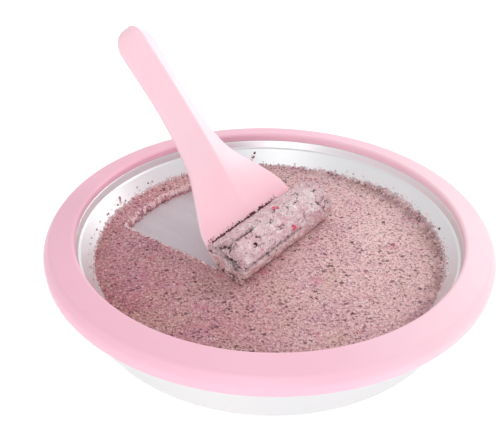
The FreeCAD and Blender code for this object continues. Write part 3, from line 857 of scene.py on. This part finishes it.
def build_layer(settings):
    step = settings.ice_cream.grid
    outer = 104
    reach = int(outer / step)
    sunk, underside = 0.35, 0.5
    heights, frosts = {}, {}
    for column in range(-reach, reach + 1):
        for row in range(-reach, reach + 1):
            x, y = column * step, row * step
            if x * x + y * y < outer ** 2:
                height, frost = layer_surface(settings, x, y)
                if height is not None:
                    heights[column, row] = height
                    frosts[column, row] = frost
    vertices = []
    depths = []
    top, bottom = {}, {}

    def number(spot, below):
        """Index of a grid point's vertex; the edge of the sheet has one for both sides."""
        book = bottom if below and spot in heights else top
        if spot not in book:
            x, y = spot[0] * step, spot[1] * step
            ground = pan_height(settings, math.hypot(x, y))
            if spot not in heights:
                height = ground - sunk
            else:
                height = ground - underside if below else heights[spot]
            book[spot] = len(vertices)
            vertices.append((x, y, height))
            depths.append(frosts.get(spot, 0.0))
        return book[spot]

    faces = []
    blocks = {}
    for column in range(-reach, reach):
        for row in range(-reach, reach):
            corners = ((column, row), (column + 1, row), (column + 1, row + 1), (column, row + 1))
            if any(corner in heights for corner in corners):
                faces.append(tuple(number(corner, False) for corner in corners))
                blocks.setdefault((column // BLOCK, row // BLOCK), []).append(corners)
    for (block_column, block_row), cells in blocks.items():
        left, front = block_column * BLOCK, block_row * BLOCK
        rim = [(left + i, front) for i in range(BLOCK)]
        rim += [(left + BLOCK, front + i) for i in range(BLOCK)]
        rim += [(left + BLOCK - i, front + BLOCK) for i in range(BLOCK)]
        rim += [(left, front + BLOCK - i) for i in range(BLOCK)]
        flat = all(
            spot in heights and math.hypot(*spot) * step < settings.pan.floor_radius for spot in rim)
        if flat and len(cells) == BLOCK * BLOCK:
            faces.append(tuple(number(spot, True) for spot in reversed(rim)))
        else:
            faces += [tuple(number(spot, True) for spot in reversed(corners)) for corners in cells]
    material = frozen_mix("frozen_layer", settings.ice_cream)
    return finished(
        "frozen_layer", vertices, faces, material, PAN_BODY, ("ice_cream_layer",), 180, depths)


# The curl's section, ahead of the blade and up, from the blade's foot round over its top.
ROLL_OUTLINE = [
    (-0.5, 31.0), (-4.2, 34.8), (-7.6, 38.3), (-5.6, 41.0), (0.6, 45.7), (6.7, 49.5), (12.5, 50.8),
    (18.0, 48.8), (22.0, 44.4), (22.9, 39.6), (22.7, 35.4), (19.6, 30.9), (10.0, 30.5),
]
ROLL_MIDDLE = (9.5, 40.5)
ROLL_ENDS = (-46.0, 37.0)
# The hollow that the curl leaves in its left end.
ROLL_HOLLOW = [(10.5, 49.0), (5.0, 46.0), (2.6, 42.6), (9.0, 41.6), (15.0, 41.4), (20.5, 40.0)]


def closed_curve(points, count):
    """Evenly spaced points on a smooth closed curve through the points."""
    fine = []
    total = len(points)
    for index in range(total):
        p0, p1, p2, p3 = (Vector(points[(index + shift) % total]) for shift in (-1, 0, 1, 2))
        for step in range(24):
            t = step / 24
            fine.append(0.5 * (
                2 * p1 + (p2 - p0) * t + (2 * p0 - 5 * p1 + 4 * p2 - p3) * t * t
                + (3 * p1 - p0 - 3 * p2 + p3) * t ** 3))
    lengths = [0.0]
    for index in range(len(fine)):
        lengths.append(lengths[-1] + (fine[(index + 1) % len(fine)] - fine[index]).length)
    even = []
    index = 0
    for step in range(count):
        target = lengths[-1] * step / count
        while lengths[index + 1] < target:
            index += 1
        share = (target - lengths[index]) / (lengths[index + 1] - lengths[index])
        even.append(fine[index].lerp(fine[(index + 1) % len(fine)], share))
    return even


def path_distance(point, path):
    """Distance from a point to a path of straight lines."""
    nearest = 1e9
    for first, second in zip(path, path[1:]):
        first, second = Vector(first), Vector(second)
        run = second - first
        share = min(max((point - first).dot(run) / run.length_squared, 0.0), 1.0)
        nearest = min(nearest, (point - first - run * share).length)
    return nearest


def groove(distance, half_width, depth):
    """Depth of a narrow groove at a distance from its middle."""
    return depth * (1 - smooth_step(half_width * 0.35, half_width, abs(distance)))


def roll_relief(place, across):
    """How far the curl's skin stands out at a point of its section, and how deep its cracks are there."""
    spot = Vector((place.x, across * 0.6, place.y))
    relief = 0.5 * lumps(spot, 8.0, 2) + 0.55 * lumps(spot + Vector((9, 0, 0)), 1.9, 3)
    ripple = 0.35 * noise.noise_vector(spot / 2.0)
    plates = noise.voronoi(Vector((place.x / 5.0, across / 8.5, place.y / 5.0)) + ripple)[0]
    seam = 1 - smooth_step(0.0, 0.10, plates[1] - plates[0])
    seam *= smooth_step(-0.1, 0.35, noise.noise(spot / 5.0 + Vector((3, 3, 3))))
    wobble = 1.1 * noise.noise(Vector((across / 3.1, 4.0, 0))) + 0.5 * noise.noise(Vector((across / 0.9, 9.0, 0)))
    crack = 0.0
    if place.y > 45:
        long_crack = groove(place.x - 10.4 - wobble, 1.6, 1.0) * (1 - smooth_step(-27, -20, across))
        short_crack = groove(place.x - 6.0 - wobble, 1.0, 0.7)
        short_crack *= smooth_step(0, 2, across) * (1 - smooth_step(8, 11, across))
        crack = max(long_crack, short_crack)
    if place.x > 17:
        flap = groove(place.y - 39.8 - 1.6 * wobble, 1.5, 0.8) * (1 - smooth_step(-6, 10, across))
        crack = max(crack, flap * (0.6 + 0.6 * noise.noise(Vector((across / 2.0, 7.0, 2.0)))))
    return relief - 0.8 * seam - 3.4 * crack, max(crack, 0.75 * seam)


def end_shape(place, side):
    """How far a ragged end of the curl reaches past its plane, and how deep its hollow is there."""
    spot = Vector((place.x, side * 7.0, place.y))
    reach = 1.3 * lumps(spot, 4.5, 3) + 0.5 * lumps(spot, 1.3, 2)
    if side > 0:
        knob = 1 - smooth_step(3.0, 7.5, (place - Vector((-1.0, 43.5))).length)
        return reach + 5.0 * knob, 0.0
    slant = 0.26 * (place.x - 19.0)
    hollow = path_distance(place, ROLL_HOLLOW) - 1.9 * noise.noise(spot / 2.3) - 0.8 * noise.noise(spot / 0.9)
    depth = 1 - smooth_step(0.6, 1.8, hollow)
    return reach + slant - 6.0 * depth, depth


def build_roll(settings):
    """Curl ahead of the blade: a folded sheet with cracks along it and a hollow end."""
    around, lengths, cap_rings = 230, 190, 26
    outline = closed_curve(ROLL_OUTLINE, around)
    middle = Vector(ROLL_MIDDLE)
    first, last = ROLL_ENDS
    face = Vector((FACE.dot(PUSH), FACE.z))
    vertices = []
    depths = []
    slices = []
    spans = [(first - end_shape(place, -1)[0], last + end_shape(place, 1)[0]) for place in outline]
    for slice_ in range(lengths + 1):
        share = slice_ / lengths
        row = []
        for index, place in enumerate(outline):
            to_next = (outline[(index + 1) % around] - outline[index - 1]).normalized()
            out = Vector((-to_next.y, to_next.x))
            low, high = spans[index]
            across = low + (high - low) * share
            ends = min(across - low, high - across)
            relief, depth = roll_relief(place, across)
            relief *= 1 + 1.4 * (1 - smooth_step(1, 8, ends))
            moved = place + out * (relief - 1.6 * (1 - smooth_step(0, 2.6, ends)) ** 2)
            standing = (moved - Vector((0, FLOOR_Z + BLADE_LIFT))).dot(face)
            if place.x < 1.0 and place.y < 40.5:
                moved += face * (min(max(standing, 1.9), 2.9) - standing)
            moved.y = max(moved.y, 30.15)
            row.append(len(vertices))
            vertices.append(from_push(moved.x, across, moved.y))
            depths.append(depth)
        slices.append(row)
    faces = grid_faces(lengths + 1, around, wrap_columns=True)
    for row, side, plane in ((slices[0], -1, first), (slices[-1], 1, last)):
        rim_places = [Vector((push_place(*vertices[i][:2])[0], vertices[i][2])) for i in row]
        rim_places = [middle + (place - middle) for place in rim_places]
        ring = row
        for step in range(1, cap_rings + 1):
            share = 1 - step / cap_rings
            inner = []
            for rim_place in rim_places if share > 0 else [middle]:
                place = middle + (rim_place - middle) * share
                reach, depth = end_shape(place, side)
                bulge = 0.6 * math.sqrt(1 - share ** 2)
                inner.append(len(vertices))
                vertices.append(from_push(place.x, plane + side * (reach + bulge), place.y))
                depths.append(depth)
            for i in range(around):
                j = (i + 1) % around
                if share > 0:
                    faces.append((ring[i], ring[j], inner[j], inner[i]))
                else:
                    faces.append((ring[i], ring[j], inner[0]))
            ring = inner
    material = rolled_mix("frozen_roll", settings.ice_cream)
    return finished(
        "rolled_curl", vertices, faces, material, ROLL_BODY, ("ice_cream_roll",), 180, depths)


def on_blade(across, along, out):
    """A point in front of the blade, as (x, y, z) in millimetres."""
    base = Vector((*BLADE_MIDDLE, FLOOR_Z + BLADE_LIFT))
    return base + BLADE * across + HANDLE_AXIS * along + FACE * out


def build_torn_edge(settings):
    """Ragged strip where the curl tears away from the blade, coloured near-black: painted shade of the gap between
    curl and blade.
    """
    stations = 300
    first, last = -36.5, 27.0
    vertices = []
    for station in range(stations + 1):
        across = first + (last - first) * station / stations
        ragged = 1.7 * noise.noise(Vector((across / 4.2, 1.0, 0))) + 1.2 * noise.noise(Vector((across / 1.0, 5.0, 0)))
        fade = smooth_step(first, first + 3, across) * (1 - smooth_step(last - 9, last, across))
        high = 13.9 + (1.9 + ragged) * fade
        for along, out in ((11.0, 1.62), (high, 1.62), (high - 0.25, 2.1), (11.0, 2.4)):
            vertices.append(on_blade(across, along, out)[:])
    faces = grid_faces(stations + 1, 4, wrap_columns=True)
    faces += [(3, 2, 1, 0), tuple(range(len(vertices) - 4, len(vertices)))]
    paint = Paint("torn_edge_painted_shade", IOR=1.33, Specular_IOR_Level=0.3)
    # Painted shade: the strip is coloured near-black to stand for the shaded gap behind the curl.
    patches = paint.noise(1.6, detail=3, roughness=0.7)
    dark = paint.mix(patches.ramp(0.35, 0.6), srgb(58, 26, 36), srgb(112, 66, 76))
    material = paint.feed(
        Base_Color=dark, Roughness=0.5 + 0.3 * patches, Normal=paint.bump(patches, 0.0006, 0.8))
    return finished("torn_edge", vertices, faces, material, ROLL_BODY, (), 180)


def scatter(name, spots, material, body, squash=0.7):
    """Many small uneven lumps in one piece, from (centre, radius, normal) in millimetres."""
    ball = bmesh.new()
    bmesh.ops.create_icosphere(ball, subdivisions=2, radius=1.0)
    unit = [vertex.co.copy() for vertex in ball.verts]
    unit_faces = [tuple(vertex.index for vertex in face.verts) for face in ball.faces]
    ball.free()
    vertices = []
    faces = []
    for number, (centre, radius, normal) in enumerate(spots):
        centre, normal = Vector(centre), Vector(normal).normalized()
        start = len(vertices)
        for place in unit:
            bumpy = 1 + 0.45 * noise.noise(place * 1.3 + Vector((number * 3.7, 0, 0)))
            moved = place * radius * bumpy
            moved -= normal * moved.dot(normal) * (1 - squash)
            vertices.append((centre + moved)[:])
        faces += [tuple(index + start for index in face) for face in unit_faces]
    return finished(name, vertices, faces, material, body, (), 180)


def wall_normal(x, y):
    """Direction that the pan's sloping wall faces at a point."""
    slope = Vector((x, y, 0)).normalized()
    return Vector((-slope.x, -slope.y, 0)) * 0.8 + Vector((0, 0, 0.6))


def build_crumbs(settings):
    """Loose crumbs on the pan's wall, beside the track and above the curl."""
    rng = random.Random(settings.ice_cream.seed)
    spots = []
    # first and last angle, nearest and farthest radius, count
    for start, end, near, far, count in (
            (156, 200, 96.3, 99.5, 150), (118, 158, 97.0, 100.0, 60), (-18, 60, 95.8, 99.4, 420),
            (60, 118, 96.4, 98.0, 50), (200, 342, 96.2, 97.4, 120)):
        for _ in range(count):
            angle = math.radians(rng.uniform(start, end))
            radius = near + (far - near) * rng.random() ** 2.2
            x, y = radius * math.cos(angle), radius * math.sin(angle)
            size = 0.22 + 0.55 * rng.random() ** 2.5
            spots.append(((x, y, pan_height(settings, radius) + 0.15 * size), size, wall_normal(x, y)))
    for _ in range(170):
        along, side = rng.uniform(-80, -6), rng.choice((-1, 1))
        across = side * (TRACK_HALF_WIDTH - 0.4 - 2.2 * rng.random() ** 2.5)
        x, y = from_push(along, across, 0)[:2]
        if math.hypot(x, y) < TRACK_END_RADIUS:
            size = 0.2 + 0.4 * rng.random() ** 2
            spots.append(((x, y, FLOOR_Z + 0.2 * size), size, (0, 0, 1)))
    # a dab, a short stalk and a dark skin that were flicked up the wall
    for angle, radius, size in (
            (94.6, 101.2, 0.9), (95.2, 99.8, 1.2), (95.9, 98.4, 1.0), (96.6, 97.2, 1.3),
            (152.4, 100.0, 0.9), (152.8, 99.2, 0.8), (153.3, 98.5, 0.9), (59.1, 98.4, 0.8)):
        x, y = radius * math.cos(math.radians(angle)), radius * math.sin(math.radians(angle))
        spots.append(((x, y, pan_height(settings, radius) + 0.1), size, wall_normal(x, y)))
    material = crumb_mix("frozen_crumbs", settings.ice_cream)
    return scatter("pan_crumbs", spots, material, PAN_BODY)


def build_fruit(settings):
    """Bits of red fruit and seeds in the curl, and crumbs left on the blade."""
    rng = random.Random(settings.ice_cream.seed + 1)

    def on_curl(degrees, across, size, sunk=0.15):
        direction = Vector((math.cos(math.radians(degrees)), math.sin(math.radians(degrees))))
        place = Vector((11.2, 40.6)) + direction * (10.4 - sunk)
        return (from_push(place.x, across, place.y), size, from_push(direction.x, 0, direction.y))

    red = [on_curl(108, -0.2, 1.5), on_curl(104, 1.6, 1.0), on_curl(17, -1.2, 1.7, -1.0),
           on_curl(18.4, -30.9, 1.3, -1.0), on_curl(12, -3.0, 1.2, -1.0)]
    seeds = [on_curl(43.7, -32.2, 1.2, -0.6), on_curl(60, -10, 0.5), on_curl(75, 12, 0.5), on_curl(40, 20, 0.6, -0.6)]
    paint = Paint("berry_skin", Subsurface_Weight=0.3, Subsurface_Radius=(0.002, 0.0006, 0.0006), IOR=1.4)
    patches = paint.noise(0.9, detail=3)
    colour = paint.mix(patches.ramp(0.4, 0.6), settings.ice_cream.fruit[:], srgb(240, 156, 172))
    berry = paint.feed(Base_Color=colour, Roughness=0.3 + 0.25 * patches, Normal=paint.bump(patches, 0.0004, 0.6))
    scatter("fruit_bits", red, berry, ROLL_BODY, 0.35)
    paint = Paint("seed_coat", IOR=1.4)
    patches = paint.noise(0.7, detail=3)
    colour = paint.mix(patches.ramp(0.35, 0.65), srgb(48, 20, 26), srgb(92, 50, 56))
    coat = paint.feed(Base_Color=colour, Roughness=0.35 + 0.25 * patches, Normal=paint.bump(patches, 0.0003, 0.6))
    scatter("seeds", seeds, coat, ROLL_BODY, 0.5)
    outline = closed_curve(ROLL_OUTLINE, 60)
    middle = Vector(ROLL_MIDDLE)
    flakes = []
    for _ in range(260):
        side, plane = rng.choice(((-1, ROLL_ENDS[0]), (-1, ROLL_ENDS[0]), (1, ROLL_ENDS[1])))
        rim_place = rng.choice(outline)
        place = middle + (rim_place - middle) * (1 - 0.55 * rng.random() ** 2)
        if place.x < 0 and place.y < 41:
            continue
        across = plane + side * (end_shape(place, side)[0] - 0.4 * rng.random())
        size = 0.3 + 0.8 * rng.random() ** 2
        flakes.append((from_push(place.x, across, max(place.y, 30.9)), size, from_push(0, side, 0.2)))
    for _ in range(26):
        place = Vector((rng.uniform(-2.5, 5.0), rng.uniform(41.5, 46.0)))
        flakes.append((from_push(place.x, rng.uniform(38.5, 43.5), place.y), rng.uniform(0.7, 1.9), (0, 0.3, 1)))
    for _ in range(14):
        place = Vector((rng.uniform(18.0, 22.5), rng.uniform(33.0, 40.0)))
        flakes.append((from_push(place.x, rng.uniform(35.0, 37.5), place.y), rng.uniform(0.6, 1.5), (0, 0.3, 1)))
    scatter("curl_flakes", flakes, rolled_mix("flake_mix", settings.ice_cream, False), ROLL_BODY, 0.75)
    specks = []
    for _ in range(320):
        across = rng.uniform(-37, 28)
        along = 14.6 + 3.2 * rng.random() ** 2.2
        size = 0.18 + 0.42 * rng.random() ** 2
        specks.append((on_blade(across, along, 1.7)[:], size, FACE[:]))
    scatter("blade_crumbs", specks, crumb_mix("blade_smears", settings.ice_cream), SCRAPER_BODY)


# ---- stage -------------------------------------------------------------------------------
CAMERA_PLACE = Vector((-10.73, -419.30, 321.11)) * MM
CAMERA_RIGHT = Vector((0.99993, 0.00622, 0.00985))
CAMERA_UP = Vector((-0.01165, 0.53399, 0.84541))


def area_light(name, place, target, size, power, colour=(1, 1, 1), mirrored=True):
    lamp = bpy.data.lights.new(name, "AREA")
    lamp.shape = "DISK"
    lamp.size = size
    lamp.energy = power
    lamp.color = colour
    holder = bpy.data.objects.new(name, lamp)
    bpy.context.scene.collection.objects.link(holder)
    holder.location = place
    holder.rotation_euler = (Vector(target) - Vector(place)).to_track_quat("-Z", "Y").to_euler()
    holder.visible_glossy = mirrored


def build_stage(settings):
    own = settings.stage
    scene = bpy.context.scene
    scene.view_settings.view_transform = "Standard"
    mesh = bpy.data.meshes.new("floor")
    far = 9.0
    mesh.from_pydata([(-far, -far, 0), (far, -far, 0), (far, far, 0), (-far, far, 0)], [], [(0, 1, 2, 3)])
    floor = bpy.data.objects.new("floor", mesh)
    scene.collection.objects.link(floor)
    paint = Paint("floor_white", Roughness=0.9, Specular_IOR_Level=0.1, Emission_Strength=0.3)
    cloud = paint.noise(400, detail=2)
    shade = paint.mix(cloud, (0.93, 0.93, 0.93), (0.90, 0.90, 0.90))
    floor.data.materials.append(paint.feed(Base_Color=shade, Emission_Color=(1.0, 1.0, 1.0)))
    for name, mirrored in (("key", True), ("key_matt", False)):
        area_light(name, (0.62, 0.66, 0.60), (0, 0, 0.04), 0.7, own.key / 2, (1.0, 0.97, 0.94), mirrored)
    area_light("fill", (-0.10, -1.05, 0.55), (0, 0, 0.03), 0.9, own.fill)
    world = bpy.data.worlds.new("studio")
    world.use_nodes = True
    world.node_tree.nodes["Background"].inputs["Color"].default_value = (1.0, 1.0, 1.0, 1.0)
    world.node_tree.nodes["Background"].inputs["Strength"].default_value = own.world
    scene.world = world
    camera = bpy.data.cameras.new("camera")
    camera.sensor_width = 36.0
    camera.lens = own.lens
    camera.clip_start = 0.01
    holder = bpy.data.objects.new("camera", camera)
    scene.collection.objects.link(holder)
    right = CAMERA_RIGHT.normalized()
    back = right.cross(CAMERA_UP).normalized()
    up = back.cross(right)
    holder.matrix_world = Matrix.Translation(CAMERA_PLACE) @ Matrix((right, up, back)).transposed().to_4x4()
    scene.camera = holder


# ---- operators -----------------------------------------------------------------------------
class ROLLPAN_OT_rim(bpy.types.Operator):
    """Build the pink trim ring"""
    bl_idname = "rollpan.rim"
    bl_label = "Trim ring"

    def execute(self, context):
        build_rim(context.scene.roll_pan)
        return {"FINISHED"}


class ROLLPAN_OT_pan(bpy.types.Operator):
    """Build the aluminium pan"""
    bl_idname = "rollpan.pan"
    bl_label = "Freezing pan"

    def execute(self, context):
        build_pan(context.scene.roll_pan)
        return {"FINISHED"}


class ROLLPAN_OT_fittings(bpy.types.Operator):
    """Give the base, feet, plug, seals, gel and screws their finishes"""
    bl_idname = "rollpan.fittings"
    bl_label = "Base and fittings"

    def execute(self, context):
        finish_fittings(context.scene.roll_pan)
        return {"FINISHED"}


class ROLLPAN_OT_scraper(bpy.types.Operator):
    """Build the scraper"""
    bl_idname = "rollpan.scraper"
    bl_label = "Scraper"

    def execute(self, context):
        build_scraper(context.scene.roll_pan)
        return {"FINISHED"}


class ROLLPAN_OT_layer(bpy.types.Operator):
    """Build the frozen layer with its scraped track"""
    bl_idname = "rollpan.layer"
    bl_label = "Ice cream layer"

    def execute(self, context):
        build_layer(context.scene.roll_pan)
        build_crumbs(context.scene.roll_pan)
        return {"FINISHED"}


class ROLLPAN_OT_roll(bpy.types.Operator):
    """Build the curl of ice cream in front of the blade"""
    bl_idname = "rollpan.roll"
    bl_label = "Ice cream roll"

    def execute(self, context):
        build_roll(context.scene.roll_pan)
        build_torn_edge(context.scene.roll_pan)
        build_fruit(context.scene.roll_pan)
        return {"FINISHED"}


class ROLLPAN_OT_stage(bpy.types.Operator):
    """Set up the floor, the lights and the camera"""
    bl_idname = "rollpan.stage"
    bl_label = "Stage"

    def execute(self, context):
        build_stage(context.scene.roll_pan)
        return {"FINISHED"}


STEPS = (
    ROLLPAN_OT_stage, ROLLPAN_OT_rim, ROLLPAN_OT_pan, ROLLPAN_OT_fittings,
    ROLLPAN_OT_scraper, ROLLPAN_OT_layer, ROLLPAN_OT_roll)


class ROLLPAN_PT_panel(bpy.types.Panel):
    """Lists the steps that build the pan"""
    bl_idname = "ROLLPAN_PT_panel"
    bl_label = "Roll Pan"
    bl_space_type = "VIEW_3D"
    bl_region_type = "UI"
    bl_category = "Roll Pan"

    def draw(self, context):
        for step in STEPS:
            self.layout.operator(step.bl_idname)


CLASSES = (
    RimSettings, PanSettings, ScraperSettings, IceCreamSettings, StageSettings, RollPanSettings,
    *STEPS, ROLLPAN_PT_panel)


def register():
    for each in CLASSES:
        bpy.utils.register_class(each)
    bpy.types.Scene.roll_pan = PointerProperty(type=RollPanSettings)


def unregister():
    del bpy.types.Scene.roll_pan
    for each in reversed(CLASSES):
        bpy.utils.unregister_class(each)


def main():
    register()
    for step in STEPS:
        group, name = step.bl_idname.split(".")
        getattr(getattr(bpy.ops, group), name)()


if __name__ == "__main__":
    main()
